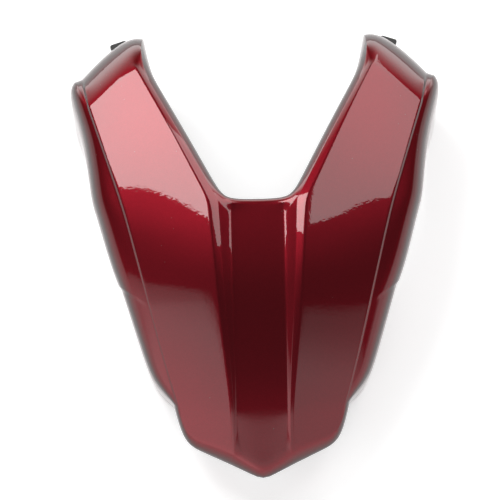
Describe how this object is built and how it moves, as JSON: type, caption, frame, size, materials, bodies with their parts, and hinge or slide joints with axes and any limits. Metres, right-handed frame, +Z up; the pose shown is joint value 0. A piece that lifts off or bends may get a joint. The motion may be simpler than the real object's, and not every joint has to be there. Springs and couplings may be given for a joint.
{
  "type": "motorcycle tail fairing",
  "caption": "Moulded tail fairing with a forked front, raised side panels round a sunk channel and a pointed tail.",
  "frame": {"origin": "middle of the base of the fairing's box, level with its lowest rim", "axes": "+Y towards the forked front, +Z up, +X to the right seen from behind the tail"},
  "size_m": [0.2954, 0.3758, 0.0994],
  "materials": {
    "cowl_paint": "dark red metallic paint under a gloss clear coat"
  },
  "bodies": {
    "root": {"tail_cowl": "cowl_paint"}
  },
  "joints": []
}
